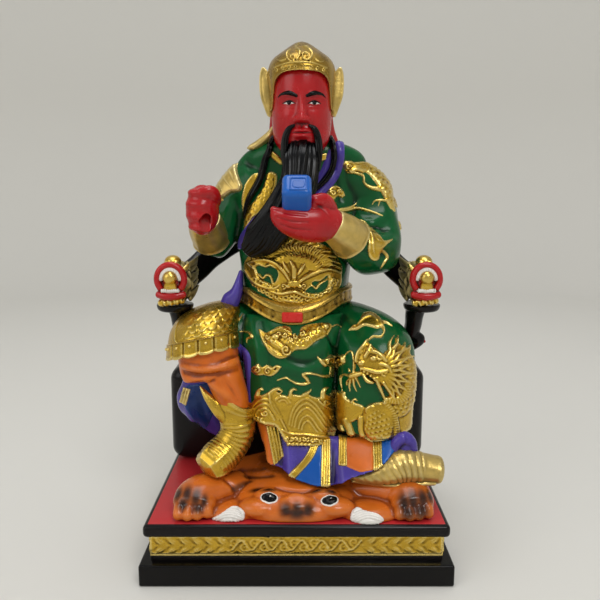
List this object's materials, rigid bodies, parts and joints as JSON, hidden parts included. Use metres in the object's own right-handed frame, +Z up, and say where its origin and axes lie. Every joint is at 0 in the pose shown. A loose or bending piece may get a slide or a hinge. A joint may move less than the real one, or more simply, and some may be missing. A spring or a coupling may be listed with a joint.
{
  "type": "seated general statue",
  "caption": "Painted seated general with a raised fist and a seal, on a dragon-armed chair over a tiger skin, on a moulded black and gold plinth",
  "frame": {"origin": "centre of the plinth's underside", "axes": "+Z up, +X to the viewer's right, the figure faces -Y"},
  "size_m": [0.182, 0.143, 0.3141],
  "materials": {
    "black_lacquer": "gloss black lacquer paint",
    "green_enamel": "gloss deep green enamel paint",
    "gold_paint": "bright metallic gold paint with darker hollows",
    "red_enamel": "gloss crimson enamel of the face and hands",
    "plinth_red": "satin red paint of the plinth's top",
    "purple_enamel": "gloss violet enamel of the linings",
    "blue_enamel": "gloss blue enamel",
    "orange_enamel": "gloss orange enamel of the trousers and strips",
    "tiger_paint": "orange enamel with airbrushed black markings",
    "white_enamel": "gloss white enamel of teeth and tufts"
  },
  "bodies": {
    "root": {"plinth": "black_lacquer", "statue": "green_enamel"}
  },
  "joints": []
}
